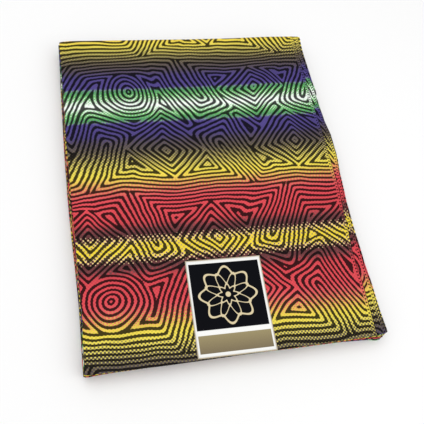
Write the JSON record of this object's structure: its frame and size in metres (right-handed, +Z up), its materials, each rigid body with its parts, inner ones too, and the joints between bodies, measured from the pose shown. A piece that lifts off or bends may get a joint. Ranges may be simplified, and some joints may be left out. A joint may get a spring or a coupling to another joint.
{
  "type": "folded wax print fabric",
  "caption": "Printed cotton dress cloth folded back and forth into a flat slab, with colour bands under nested dark lines and a plain paper label on top.",
  "frame": {"origin": "centre of the slab's footprint, on the surface that it lies on", "axes": "+Y along the slab's long side, towards its back and away from the label; +X across it, to the right; +Z up, out of its printed upper side"},
  "size_m": [0.3002, 0.379, 0.0201],
  "materials": {
    "printed_cotton": "matt plain-weave cotton, printed in bands of colour under nested dark lines",
    "label_paper": "smooth coated paper with a black panel, a gold ornament and a gold strip"
  },
  "bodies": {
    "root": {"folded_cloth": "printed_cotton", "paper_label": "label_paper"}
  },
  "joints": []
}
